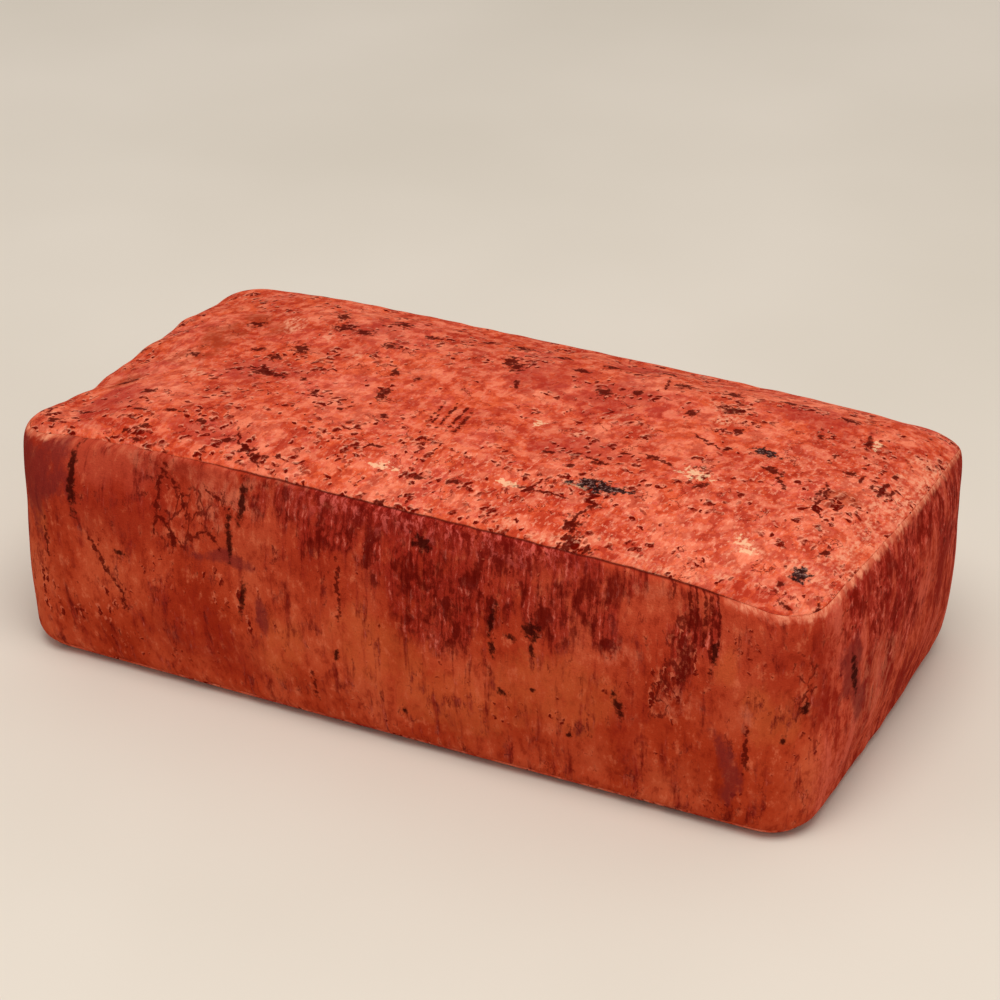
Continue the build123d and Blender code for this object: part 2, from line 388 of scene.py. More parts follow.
def top_push(u, v):
    """How far the simulation moves the top panel's points."""
    along, across = spline((u + 1) / 2 * CELLS[0], CELLS[0]), spline((v + 1) / 2 * CELLS[1], CELLS[1])
    return spread(TOP_MOVE, along, across)


def band_push(along, share):
    """How far it moves the band's points."""
    lines = [np.linspace(-1, 1, cells + 1) for cells in CELLS[:2]]
    u, v = (walk_round(table) for table in np.meshgrid(*lines, indexing="ij"))
    x, y = plan(u, v, 0)
    steps = np.hypot(np.diff(x, append=x[0]), np.diff(y, append=y[0]))
    places = np.concatenate([[0], np.cumsum(steps)])
    places = places - places[CELLS[0] // 2]
    turned = (along - places[0]) % (places[-1] - places[0]) + places[0]
    number = np.interp(turned, places, np.arange(len(places)))
    return spread(BAND_MOVE, spline(number, len(u), True), spline(share * CELLS[2], CELLS[2]))


TOP_MOVE, BAND_MOVE = settle()


# --- the printed covers ---
# A mark or a patch is a row of numbers: its centre's x and y and its two radii in mm, and its turn in
# degrees if it has one. On the band, x runs along the strip from the middle of the front, and y up from
# the bottom seam.
def zone(rows, x, y, soft=0.6):
    """Where a panel's large soft patches are: 1 inside, 0 outside."""
    moves = [4 * waves(x, y, 34, seed) + 1.5 * waves(x, y, 13, seed + 2) for seed in (21, 22)]
    x, y = x + moves[0], y + moves[1]
    total = np.zeros(x.shape)
    for cx, cy, rx, ry, *turn in rows:
        u, v = local_place(x, y, cx, cy, *turn)
        share = np.clip((1 + soft - np.hypot(u / rx, v / ry)) / (2 * soft), 0, 1)
        total = np.maximum(total, share * share * (3 - 2 * share))
    return total


def local_place(x, y, cx, cy, turn=0):
    """Places seen from a centre, along the turned axes."""
    c, s = math.cos(math.radians(turn)), math.sin(math.radians(turn))
    return (x - cx) * c + (y - cy) * s, (y - cy) * c - (x - cx) * s


def runs(paths, width):
    """Thin rows along each path's straight runs, overlapping at their ends."""
    rows = []
    for path in paths:
        for (x0, y0), (x1, y1) in zip(path, path[1:]):
            half, turn = math.hypot(x1 - x0, y1 - y0) / 2, math.degrees(math.atan2(y1 - y0, x1 - x0))
            rows.append(((x0 + x1) / 2, (y0 + y1) / 2, half + 1.8 * width, width, turn))
    return rows


MARK_REACH = 3.6  # mm round a mark that its layer keeps to it
MARK_GAP = 2.2  # and more to the next mark
AWAY = 10  # the value that says that no mark is near


def mark_layers(kind, rows, x, y):
    """Fields that hold each point's place inside the nearest small mark, in the mark's own radii.

    Such a place changes evenly across the fabric, so a mark keeps a sharp outline on a coarse mesh. The
    third number is 0 near a mark and large elsewhere. Marks that are close together go to different layers.
    """
    layers, taken = [], []
    for cx, cy, rx, ry, *turn in rows:
        u, v = local_place(x, y, cx, cy, *turn)
        past = np.maximum(np.abs(u) - rx, np.abs(v) - ry)
        near, wide = past < MARK_REACH, past < MARK_REACH + MARK_GAP
        for layer, used in zip(layers, taken):
            if not (used & wide).any():
                break
        else:
            layer, used = np.zeros(x.shape + (3,)) + (0, 0, AWAY), np.zeros(x.shape, bool)
            layers.append(layer)
            taken.append(used)
        layer[near] = np.stack([u / rx, v / ry, 0 * u], -1)[near]
        used |= near
    return {f"{kind}_{i}": layer for i, layer in enumerate(layers)}


def print_fields(x, y, marks, zones):
    """All that a printed fabric's material reads from the mesh."""
    fields = {"print": np.stack([x, y, 0 * x], -1)}
    for kind, rows in marks.items():
        fields.update(mark_layers(kind, rows, x, y))
    for name, three in zones.items():
        fields[name] = np.stack([zone(rows, x, y) for rows in three], -1)
    return fields


def panel(name, surface, spacing, flip):
    """The top panel, or the bottom panel when flipped."""
    us, vs = knots(HALF_L, spacing) / HALF_L, knots(HALF_W, spacing) / HALF_W
    u, v = np.meshgrid(us, vs, indexing="ij")
    points, d = surface(u, v), ring_distance(u, v)
    if not flip:
        points = points + top_push(us, vs) * (1 - fade(d, 3))[..., None]
    x, y = plan(u, v, 0, 0)
    side = -1 if flip else 1
    fields = print_fields(side * x, side * y, TOP_MARKS, TOP_ZONES)
    # Its third number, the way to the seam plus how little the seam is drawn in there, sets the painted
    # shade in the seam's crease.
    fields["print"][..., 2] = d + 1 - tuck(u)
    piece = mesh_object(name, points.reshape(-1, 3), grid_faces(*u.shape, flip), fields)
    thicken(piece)
    return piece


def side(name, spacing):
    """The side band, with its two ends turned in where they join."""
    u, v, along = edge_loop(spacing)
    share = (knots(BAND_HEIGHT / 2, spacing) / BAND_HEIGHT + 0.5)[None, :]
    push = band_push(along, share[0])
    u, v, along = u[:, None], v[:, None], along[:, None]
    from_seam = BAND_HEIGHT * np.minimum(share, 1 - share) + 0 * u
    free = (1 - fade(from_seam, 3)) * (0.25 + 0.75 * straight_part(u, v))
    points = band_points(u, v, along, share) + push * free[..., None]
    from_join = np.minimum(along - along[0], along[-1] - along)
    points[..., 1] -= JOIN_TUCK * np.where(v > 0.999, groove(from_join), 0)
    points[0, :, 0] += JOIN_GAP / 2
    points[-1, :, 0] -= JOIN_GAP / 2
    height = BAND_HEIGHT * share + 0 * along
    wrapped = (along - SIDE_START) % SIDE_REPEAT + SIDE_START
    fields = print_fields(wrapped + 0 * height, height, SIDE_MARKS, SIDE_ZONES)
    fields["print"][..., 0] = along
    # The same third number here sets the painted shade in both seams' creases.
    fields["print"][..., 2] = from_seam + np.where(share > 0.5, 1 - tuck(u), 0)
    piece = mesh_object(name, points.reshape(-1, 3), grid_faces(*height.shape), fields)
    thicken(piece)
    return piece


# --- materials ---
def srgb(red, green, blue):
    """Linear colour from 0-255 values."""
    parts = [channel / 255 for channel in (red, green, blue)]
    return [part / 12.92 if part <= 0.04045 else ((part + 0.055) / 1.055) ** 2.4 for part in parts] + [1]


class Net:
    """A material's node tree, with a short method for each kind of node, and the colour painted so far.

    Values are numbers or sockets, and colours are 0-255 values or sockets.
    """

    def __init__(self, name, roughness=0.9):
        self.material = bpy.data.materials.new(name)
        self.material.use_nodes = True
        self.nodes, self.links = self.material.node_tree.nodes, self.material.node_tree.links
        self.shader = self.nodes["Principled BSDF"]
        self.shader.inputs["Roughness"].default_value = roughness
        self.colour = None

    def put(self, socket, value):
        if isinstance(value, bpy.types.NodeSocket):
            self.links.new(value, socket)
        elif value is not None:
            socket.default_value = value

    def add(self, kind, values, **settings):
        node = self.nodes.new("ShaderNode" + kind)
        for key, value in settings.items():
            setattr(node, key, value)
        for key, value in values.items():
            self.put(node.inputs[key], value)
        return node

    def field(self, name):
        """A vector stored on the mesh: "print" is the place on the fabric and about the way to the seam."""
        return self.add("Attribute", {}, attribute_name=name).outputs["Vector"]

    def split(self, vector):
        return list(self.add("SeparateXYZ", {0: vector}).outputs)

    def math(self, operation, a, b=None):
        return self.add("Math", {0: a, 1: b}, operation=operation).outputs[0]

    def times(self, a, b):
        return self.math("MULTIPLY", a, b)

    def plus(self, a, b):
        return self.math("ADD", a, b)

    def excess(self, a, b, gain):
        """How much a is over b, times the gain."""
        return self.times(self.math("SUBTRACT", a, b), gain)

    def vector(self, operation, a, b=None):
        node = self.add("VectorMath", {0: a, 1: b}, operation=operation)
        return node.outputs["Value" if operation == "LENGTH" else "Vector"]

    def scaled(self, vector, x, y, turn=0):
        if turn:
            values = {"Vector": vector, "Angle": math.radians(turn)}
            vector = self.add("VectorRotate", values, rotation_type="Z_AXIS").outputs[0]
        return self.vector("MULTIPLY", vector, (x, y, 1))

    def noise(self, vector, size, detail=3, rough=0.5, output="Fac"):
        values = {"Vector": vector, "Scale": 1 / size, "Detail": detail, "Roughness": rough}
        return self.add("TexNoise", values, noise_dimensions="2D").outputs[output]

    def cells(self, vector, size, **settings):
        values = {"Vector": vector, "Scale": 1 / size}
        return self.add("TexVoronoi", values, voronoi_dimensions="2D", **settings)

    def patches(self, vector, size, soft=0.35):
        """A value for each of many patches about size wide, with soft borders."""
        node = self.cells(vector, size, feature="SMOOTH_F1")
        self.put(node.inputs["Smoothness"], soft)
        return self.split(node.outputs["Color"])[0]

    def blobs(self, vector, size, share, reach, more, shift=(0.3, -0.4, 0)):
        """Scattered pits, at most one to a cell, and the lit sides of their rims.

        About a share of the cells has one, with a radius of up to reach cells, and more adds to that share.
        """
        found = []
        for place in (vector, self.vector("ADD", vector, shift)):
            node = self.cells(place, size)
            chance = self.plus(self.split(node.outputs["Color"])[0], more)
            radius = self.ramp(chance, 1 - share, 1.1, reach)
            found.append(self.ramp(self.math("SUBTRACT", radius, node.outputs["Distance"]), 0, 0.1))
        return found[0], self.math("MAXIMUM", self.math("SUBTRACT", found[1], found[0]), 0)

    def ramp(self, value, low, high, most=1, least=0):
        """Rises smoothly from the least to the most as the value goes from low to high."""
        values = {"Value": value, "From Min": low, "From Max": high, "To Min": least, "To Max": most}
        return self.add("MapRange", values, interpolation_type="SMOOTHSTEP").outputs[0]

    def mix(self, share, a, b):
        a, b = (srgb(*colour) if isinstance(colour, tuple) else colour for colour in (a, b))
        return self.add("Mix", {0: share, 6: a, 7: b}, data_type="RGBA").outputs[2]

    def lay(self, over, share, by=None):
        """Paints a colour over the last ones by a share, or by the product of two."""
        self.colour = self.mix(share if by is None else self.times(share, by), self.colour, over)

    def tint(self, over, value, low, high, most, by=None):
        """Paints a colour more and more as the value goes from low to high, up to the most."""
        self.lay(over, self.ramp(value, low, high, most), by)

    def colours(self, value, stops):
        """A colour ramp from (place, colour) pairs."""
        node = self.add("ValToRGB", {0: value})
        steps = node.color_ramp.elements
        while len(steps) < len(stops):
            steps.new(0.5)
        for step, (place, colour) in zip(steps, stops):
            step.position, step.color = place, srgb(*colour)
        return node.outputs[0]

    def shaken(self, vector, size, reach, detail=3):
        """The vector moved about by up to reach mm, so that edges come out ragged."""
        colour = self.noise(vector, size, detail, output="Color")
        centred = self.vector("SUBTRACT", colour, (0.5, 0.5, 0.5))
        return self.vector("ADD", vector, self.vector("MULTIPLY", centred, (2 * reach, 2 * reach, 0)))

    def marks(self, kind, fields, wobble, soft, uneven, bend=None):
        """1 inside the small marks of a kind. Wobble makes outlines ragged, and bend makes lines crooked."""
        shift = self.excess(wobble, 0.5, 2 * uneven)
        total = None
        for name in [name for name in fields if name.startswith(kind + "_")]:
            place = self.field(name) if bend is None else self.vector("ADD", self.field(name), bend)
            one = self.ramp(self.plus(self.vector("LENGTH", place), shift), 1 + soft, 1 - soft)
            total = one if total is None else self.math("MAXIMUM", total, one)
        return total

    def crooked(self, vector, size, reach):
        """An uneven sideways shift for thin marks, in their own widths."""
        off = self.excess(self.noise(vector, size, 4, 0.6), 0.5, 2 * reach)
        return self.add("CombineXYZ", {0: 0, 1: off, 2: 0}).outputs[0]

    def bump(self, height, strength, distance):
        values = {"Height": height, "Strength": strength, "Distance": distance}
        self.put(self.shader.inputs["Normal"], self.add("Bump", values).outputs[0])

    def nap(self, vector):
        """The short pile: fine bumps, and a little light caught by the fibre ends."""
        fine = self.noise(vector, 0.55, 2, 0.6)
        brushed = self.noise(self.scaled(vector, 1, 0.45), 0.9, 2, 0.6)
        self.bump(self.plus(fine, brushed), 0.35, 0.0005)
        gloss = {"Sheen Weight": 0.005, "Sheen Roughness": 0.5, "Specular IOR Level": 0.01}
        for name, value in gloss.items():
            self.shader.inputs[name].default_value = value
        self.shader.inputs["Sheen Tint"].default_value = (1, 0.55, 0.4, 1)

    def finish(self):
        self.put(self.shader.inputs["Base Color"], self.colour)
        return self.material


# --- the print's larger marks and patches ---
TOP_SLATES = [
    (48.5, -38.6, 7.2, 2.3, 3), (44, -37.2, 4.2, 1.3, 25), (77.4, 0.2, 3.5, 2.4, -15),
    (108.8, -49.2, 2.3, 2.7, 10),
]
TOP_CHIPS = [
    (83, -9.4, 2.6, 1.8, -30), (87, -14.4, 3, 0.7, -52), (98.4, 24.6, 0.9, 3.8, 10),
    (-30.7, -10.8, 1.4, 3.4, 12), (-69, 40, 1.8, 3.4, 20), (-64, 30.5, 2.8, 2.6), (-57, 29, 2.6, 2.3),
    (-45, 22, 2, 2.2), (-22, 44, 2.2, 2.6), (-12, 44, 2.2, 2.6), (-9, 27, 1.9, 4.4, 15),
    (-5.4, 23.4, 1.7, 4.2, 20), (-68, 10, 2.2, 2.8, 20), (-70, -9, 4.2, 2.2, -20), (-64, -10.4, 2.4, 1.1),
    (-72, 2, 2.2, 1.7), (-35, 5, 1.2, 2.8, 20), (-26.5, 2, 0.8, 1.6), (-48, -18, 1.1, 1.7),
    (-56, -10.6, 0.8, 1.5, 20), (-106, -25, 2.8, 2), (-91, -35, 1.9, 1.1), (-23, -24.6, 1.8, 0.9, -30),
    (-35.4, -26, 1.6, 0.8, 20), (-109, -57, 2.2, 1.6), (-103, -49.5, 1.8, 0.8), (-86, -47, 2.2, 0.8, 10),
    (-77, -45.4, 2.4, 0.8), (-66, -48, 1.6, 1.2), (-80, -55, 1.8, 1.2), (-84.6, -58.4, 1.4, 1),
    (-78.4, -62, 1.6, 0.9), (-54.6, -52.6, 1.5, 1.3), (-47.6, -55.4, 2.2, 1.3, 10), (-42.4, -58, 2, 1.5),
    (-37.4, -56, 1, 0.8), (0.3, 10.4, 0.8, 2.6, 20), (24, 17, 2, 2.4, 10), (42, 33, 1.9, 2.8, 15),
    (60, 22.4, 3, 2.4, 20), (86, 20, 0.8, 2.4, 10), (110.5, 9.4, 0.7, 1.5), (100, 2, 1.8, 1.2),
    (70.6, -27.4, 1.1, 2.1, -10), (110.4, -38.8, 1.2, 1), (106.7, -55, 1.2, 0.9), (42, -26.6, 1.7, 1.1),
    (35.7, -31.8, 1.4, 1), (27, -26.4, 1.3, 0.9), (45, -18.4, 1.4, 0.7, 20), (54.6, -18.8, 2.4, 0.6),
    (68, -3, 0.8, 1.6, -20), (49, -56, 1.6, 1.9), (2, -50.4, 1.6, 0.9), (12, -49.8, 1.9, 0.9, 10),
    (-16.4, -41.4, 2, 0.7), (-1.5, -63.6, 1.6, 1.1), (58, -62.4, 1.6, 1), (112, -60.8, 1.8, 0.6, -8),
    (118.4, -57, 0.6, 1.6, 25), (51, 14, 1.5, 1.9), (33, 20, 1.3, 1.9), (12, 30, 2, 1.7), (18, 40, 2.4, 2),
    (90, 36, 2.6, 1.8), (-90, 24, 2.2, 1.8), (-50, 42, 2.4, 2.2), (-38, 36, 2, 1.4, 10), (2, 40, 2.6, 1.6),
    (34, 44, 2.6, 1.6), (56, 36, 2, 1.8), (72, 40, 2.4, 1.6), (-80, 6, 2.2, 1.4, 15), (-96, -4, 2, 1.4),
    (66, 10, 1.4, 1.6),
]
TOP_CRACKS = [
    [(28, -45), (34, -46), (41, -46.2)], [(98, -10), (100, -16), (99, -21), (103, -26)],
    [(57, 0.5), (62, -2.5), (66.5, -4)], [(-54, -49), (-50, -54), (-45, -57), (-41, -61)],
    [(-73, -4), (-69, -8), (-65, -11)], [(37, -24), (43, -27)], [(50, -16.5), (55, -18.6), (60, -21)],
]
TOP_FISSURE = [(47.5, -40), (48, -44), (50.6, -48.5), (48.6, -53.5), (51.8, -58), (53, -64)]
TOP_SCRATCHES = [
    (-11.6, -15, 0.5, 4.6, 6), (-7.6, -17, 0.6, 6.2, 6), (-4.1, -19, 0.5, 5.4, 6), (-1.5, -20, 0.7, 6.4, 6),
    (-9.4, -22, 0.4, 3.4, 8), (107.4, -1, 0.6, 2.6, 4), (110, -0.4, 0.7, 3, 4), (112.6, -1.4, 0.6, 2.6, 4),
    (103.8, 0.6, 0.5, 2, 4), (98, -15, 0.7, 3.6, 4), (37.5, 32, 0.5, 6, 12), (93.6, 11, 0.7, 2.6, -10),
]
TOP_FLAKES = [
    (67, -22, 3.2, 1.8, -12), (25.5, -45, 2.4, 0.8), (-10, -49, 2.8, 1, 8), (17, -11, 1, 1.4),
    (44, -40.4, 2.4, 0.6), (92, -46, 2.6, 1.2, -30), (100.8, 24.5, 0.8, 2, 8),
]
# Light-coloured patches of the print; the rows at x 114.5 and 119, along the right seam, are painted
# highlight on the rounded edge.
TOP_LIGHT_AND_HIGHLIGHT = [
    (-79, 28, 4, 9, 8), (-88, -16, 5, 4), (-66, 22, 3, 8, 10), (60, 20, 6, 12, 8), (-52, 9, 3, 4),
    (112, -50, 8, 6, 30), (27, -12, 2, 6, -20), (33.5, 4, 2, 5, -48), (95, -46, 6, 4), (60, -60, 50, 3),
    (114.5, -8, 5, 50), (119, 10, 3, 50),
]
TOP_CRIMSON = [
    (30, 16, 15, 15), (-55, 32, 9, 10), (5, 22, 8, 15), (82, 32, 13, 10), (-70, -9, 12, 9),
    (-62, -50, 16, 6), (34, -20, 12, 7), (-100, -44, 12, 10), (25, 48, 12, 8),
]
# Brownish patches of the print; the first row, near the back-left corner, is painted shade of a fold in the
# cover.
TOP_UMBER_AND_FOLD_SHADE = [(-97, 8, 8, 17, 10), (102.5, -15.5, 5, 4), (-104, -24, 6, 7), (-88, 26, 12, 5, -30)]
TOP_CLEAN = [
    (-90, 14, 20, 30), (-12, 0, 22, 14), (8, -24, 12, 10), (52, 2, 8, 22, 12), (98, -50, 26, 14),
    (84, 0, 10, 14),
]
TOP_BLEACHED = [(50, -46, 80, 18), (100, -20, 26, 40)]
TOP_DENSE = [
    (-82, -54, 8, 6), (-48, -55, 12, 6, -15), (-66, -46, 8, 5), (10, -49, 13, 4), (60, 26, 7, 8),
    (-70, -5, 9, 9), (109, 2, 8, 7), (100, -17, 6, 10), (45, -24, 12, 7), (-20, -38, 30, 6),
    (-108, -54, 8, 7), (70, 36, 12, 6), (0, -62, 120, 3),
]


def hairlines(net, vector, size, width):
    """Thin crooked cracks, along the half-way level of a rough noise."""
    off = net.math("ABSOLUTE", net.math("SUBTRACT", net.noise(vector, size, 6, 0.62), 0.5))
    return net.ramp(off, width, 0.3 * width)


def ragged_zones(net, name, blotch):
    """The three soft zones of a field, their outlines broken up by a noise."""
    uneven = net.excess(blotch, 0.5, 2.6)
    return [net.plus(part, uneven) for part in net.split(net.field(name))]


def pitted(net, layers, core, rim, grain, depth):
    """Paints pits and rims. A layer is vector, size, share, reach, more and the rim's strength."""
    worn = net.times(net.ramp(grain, 0.66, 0.48, 1, 0.7), net.ramp(depth, 0.42, 0.52, 1, 0.5))
    for vector, size, share, reach, more, strength in layers:
        pits, rims = net.blobs(vector, size, share, reach, more)
        net.lay(rim, rims, strength)
        net.lay(core, pits, worn)


TOP_LINES = runs(TOP_CRACKS, 0.5) + runs([TOP_FISSURE], 1) + TOP_SCRATCHES
TOP_MARKS = {"chips": TOP_CHIPS, "slates": TOP_SLATES, "cracks": TOP_LINES, "flakes": TOP_FLAKES}
TOP_ZONES = {"patches": [TOP_CRIMSON, TOP_UMBER_AND_FOLD_SHADE, TOP_LIGHT_AND_HIGHLIGHT], "crowds": [TOP_DENSE, TOP_CLEAN, TOP_BLEACHED]}
BRICK_TONES = [(0.34, (186, 62, 38)), (0.44, (202, 78, 48)), (0.54, (213, 94, 65)), (0.66, (222, 110, 84))]
PAINT = [
    (0.24, (170, 44, 28)), (0.4, (210, 78, 46)), (0.54, (224, 98, 58)), (0.66, (208, 84, 72)),
    (0.82, (238, 130, 98)),
]


def top_ground(net, cloth, bleached):
    """The panels' brick colour: dabs over large tones, crust and grain. Returns the grain."""
    tone = net.plus(net.noise(cloth, 34, 5, 0.58), net.times(bleached, 0.06))
    net.colour = net.colours(tone, BRICK_TONES)
    broad = net.patches(net.shaken(cloth, 7, 6, 4), 12)
    net.lay(net.colours(broad, PAINT), 0.55)
    dabs = net.noise(net.scaled(net.shaken(cloth, 3, 2.4), 0.9, 0.8, 15), 4)
    net.lay(net.colours(net.ramp(dabs, 0.28, 0.72), PAINT), 0.5)
    drawn = net.scaled(cloth, 1, 0.6)
    crust = net.noise(drawn, 3.2, 6, 0.68)
    net.tint((242, 146, 116), crust, 0.55, 0.7, 0.38)
    net.tint((150, 33, 14), crust, 0.46, 0.35, 0.42)
    grain = net.noise(drawn, 1.2, 3, 0.65)
    net.lay((244, 160, 130), net.ramp(grain, 0.54, 0.7), net.ramp(bleached, 0, 1, 0.55, 0.2))
    net.tint((146, 34, 18), grain, 0.44, 0.3, 0.22)
    return grain


def top_print(name, fields):
    """The top and bottom panels' fabric: sun-bleached brick with chips, flakes and cracks."""
    net = Net(name)
    cloth = net.field("print")
    dense, clean, bleached = net.split(net.field("crowds"))
    grain = top_ground(net, cloth, bleached)
    crimson, umber_and_fold_shade, light_and_highlight = ragged_zones(net, "patches", net.noise(cloth, 7, 6, 0.7))
    net.tint((170, 50, 40), crimson, 0.25, 1, 0.55)
    # Brownish patches, and painted shade of the fold near the back-left corner.
    net.tint((158, 58, 30), umber_and_fold_shade, 0.3, 1, 0.6)
    # Light-coloured patches, and painted highlight along the right seam's rounded edge.
    net.lay((232, 150, 118), net.ramp(light_and_highlight, 0.5, 1.3, 0.9), net.ramp(grain, 0.38, 0.62))

    rough = net.shaken(cloth, 2, 1.1)
    more = net.plus(net.excess(dense, clean, 0.35), net.excess(net.noise(cloth, 12), 0.48, 2.2))
    layers = [
        (net.scaled(rough, 1.1, 0.75), 2.4, 0.4, 0.32, more, 0.36),
        (net.scaled(rough, 0.5, 1.2, 25), 3.2, 0.34, 0.28, more, 0.32),
        (net.scaled(rough, 0.5, 1.1, -55), 3.8, 0.32, 0.26, more, 0.32),
        (net.scaled(rough, 1, 0.8), 7, 0.26, 0.2, more, 0.5),
    ]
    pitted(net, layers, (102, 9, 2), (248, 172, 140), grain, net.noise(cloth, 5, 3, 0.6))
    hair = net.times(hairlines(net, cloth, 17, 0.012), net.ramp(net.noise(cloth, 8), 0.53, 0.6))
    net.lay((112, 26, 16), hair, 0.8)

    wobble = net.noise(cloth, 1.7, 3, 0.6)
    net.lay((240, 190, 150), net.marks("flakes", fields, wobble, 0.6, 3.6), 0.8)
    cracks = net.marks("cracks", fields, wobble, 0.45, 1.5, net.crooked(cloth, 3.5, 4))
    net.lay((88, 10, 4), cracks, 0.94)
    net.lay((84, 12, 5), net.marks("chips", fields, wobble, 0.4, 1.9), 0.94)
    slate_tones = [(0.44, (34, 12, 12)), (0.56, (62, 34, 34)), (0.66, (146, 110, 100))]
    slate = net.colours(net.noise(cloth, 1.2, 4, 0.7), slate_tones)
    net.lay(slate, net.marks("slates", fields, wobble, 0.3, 1.5), 0.98)
    # Painted shade: the seam's crease darkened along the panel's edge, less where the seam is drawn in only
    # a little.
    net.tint((104, 24, 16), net.split(cloth)[2], 0.5, 0.1, 0.7)
    net.nap(cloth)
    return net.finish()


SIDE_START = -120  # where the band's print starts
SIDE_REPEAT = 359.45  # half way round the cushion, after which it starts again
SIDE_MAROON = [
    (6, 58, 12, 13), (-8, 69, 28, 6), (24, 55, 14, 16), (47, 56, 13, 11), (-22, 62, 18, 6), (63, 57, 5, 9),
    (91, 61, 4, 9), (84, 55, 4, 13), (180, 62, 30, 9), (174, 46, 8, 14), (18, 42, 14, 12), (137, 60, 6, 9),
    (35, 68, 40, 5), (152, 58, 7, 13), (163, 46, 4, 17), (218, 55, 12, 14),
]
# Painted highlight: a rosy zone where the band's top edge rounds over, at the left of the front.
SIDE_EDGE_HIGHLIGHT = [(-82, 66, 20, 8), (-60, 69, 14, 4)]
SIDE_SMOKE = [
    (-113, 58, 10, 17), (-104, 59, 8, 15), (-47, 42, 7, 2.4, -8), (140, 41, 5, 13, 15), (97, 20, 4, 10),
    (-40, 30, 1.5, 6),
]
SIDE_CRACKLE = [(-60, 54, 13, 13), (82, 50, 4, 22), (118, 52, 3, 10)]
SIDE_BLISTERS = [(-86, 20, 6, 12, -8), (-108, 20, 5, 11), (-97, 14, 5, 8), (-44, 32, 6, 8), (84, 44, 6, 18)]
SIDE_DEEP = [(73, 27, 7, 18), (-82, 53, 14, 12), (-50, 14, 14, 12), (210, 35, 20, 30), (-62, 20, 16, 16)]
SIDE_TAN = [
    (-109, 42, 4, 5), (20, 18, 24, 10), (52, 30, 16, 12), (-2, 27, 12, 12), (110, 38, 6, 10, 10),
    (-33, 22, 8, 12), (98, 50, 5, 8),
]
# Pinkish patches of the print; the rows close under the top seam add painted highlight where the band rounds
# over.
SIDE_PINK_AND_HIGHLIGHT = [
    (-78, 69, 36, 4), (75, 66, 6, 3), (-54, 64, 12, 5), (145, 34, 12, 14), (88, 36, 5, 4),
    (156, 30, 14, 18), (67, 47, 7, 4), (105, 36, 2, 4), (-46, 58, 8, 8), (-34, 68, 16, 2.6),
    (-33, 64, 1.6, 2.4),
]
SIDE_BLACK = [
    (-95, 59, 1.1, 10, 1), (12, 63, 2.6, 1.8, -30), (44.5, 46.5, 2.3, 2.5), (-45.5, 52, 0.8, 6.4),
    (-42, 62, 1, 5.6, -3), (138, 43, 1.2, 6, 12), (33, 47, 0.8, 4.6, -10), (33, 38, 0.9, 2.2, 10),
    (69, 31, 1, 3.4, 18), (-81, 38.5, 1.8, 0.6, -12), (-42, 34, 0.8, 4.6, -8), (44.5, 41, 0.7, 1.8, 15),
    (38.4, 43, 1.4, 0.8, -20), (36, 26, 1.1, 0.9), (44.6, 28.8, 0.8, 0.6), (120, 41.5, 1.6, 1.5),
    (114.3, 32.4, 0.8, 1.3), (55.4, 17.4, 0.8, 0.8), (-13.4, 24, 0.6, 1.8), (94.8, 54.8, 1, 2.4),
    (6, 10.6, 0.8, 0.7),
]
SIDE_CRACKS = [
    [(-67, 66), (-69, 59), (-68.6, 52.5), (-65.4, 49.6), (-63, 45)], [(-68.6, 52.5), (-70, 48)],
    [(-66, 64), (-62, 60.5), (-60.6, 56)], [(-55, 50), (-52.6, 51.6), (-50, 48.8)],
    [(-91, 41), (-88, 36), (-85.2, 31), (-82, 27), (-81, 21)], [(-12.6, 52), (-12.4, 37)],
    [(-21.6, 8), (-21, 15)], [(-106, 42), (-106.4, 33)], [(104, 32), (104.6, 22)], [(-52, 62), (-47.4, 60)],
]
SIDE_GROOVES = [
    (87.6, 63, 0.45, 7), (89.4, 64, 0.35, 8), (91.6, 62, 0.5, 9), (93.6, 61, 0.5, 9), (95.4, 64, 0.35, 7),
]
SIDE_MARKS = {"chips": SIDE_BLACK, "cracks": runs(SIDE_CRACKS, 0.55) + SIDE_GROOVES}
SIDE_ZONES = {
    "patches": [SIDE_MAROON, SIDE_TAN, SIDE_DEEP],
    "blots_and_highlight": [SIDE_PINK_AND_HIGHLIGHT, SIDE_SMOKE, SIDE_CRACKLE],
    "spots": [SIDE_BLISTERS, SIDE_EDGE_HIGHLIGHT, []],
}


def side_ground(net, tall, height):
    """The band's brick colour, redder towards the top, and its crust. Returns the crust."""
    stops = [(0.3, (156, 44, 20)), (0.43, (174, 58, 30)), (0.56, (188, 72, 42)), (0.72, (202, 90, 56))]
    net.colour = net.colours(net.noise(tall, 24, 6, 0.6), stops)
    net.tint((164, 48, 32), height, 22, 64, 0.5)
    crust = net.noise(tall, 3, 6, 0.7)
    net.tint((218, 110, 76), crust, 0.54, 0.72, 0.55)
    net.tint((134, 32, 16), crust, 0.47, 0.33, 0.5)
    return crust


def patches_and_edge_highlight(net, tall, tan, deep):
    """Sun-bleached and dark patches, and a rosy painted highlight along the band's rounded top edge."""
    net.tint((200, 92, 50), tan, 0.2, 1.1, 0.5)
    net.tint((150, 36, 20), deep, 0.3, 1.1, 0.5)
    # Painted highlight: rosy where the band's top edge rounds over.
    edge_highlight = net.split(net.field("spots"))[1]
    edge_highlight = net.plus(edge_highlight, net.excess(net.noise(tall, 12, 5, 0.6), 0.5, 1.6))
    net.tint((190, 78, 60), edge_highlight, 0.2, 1.1, 0.3)


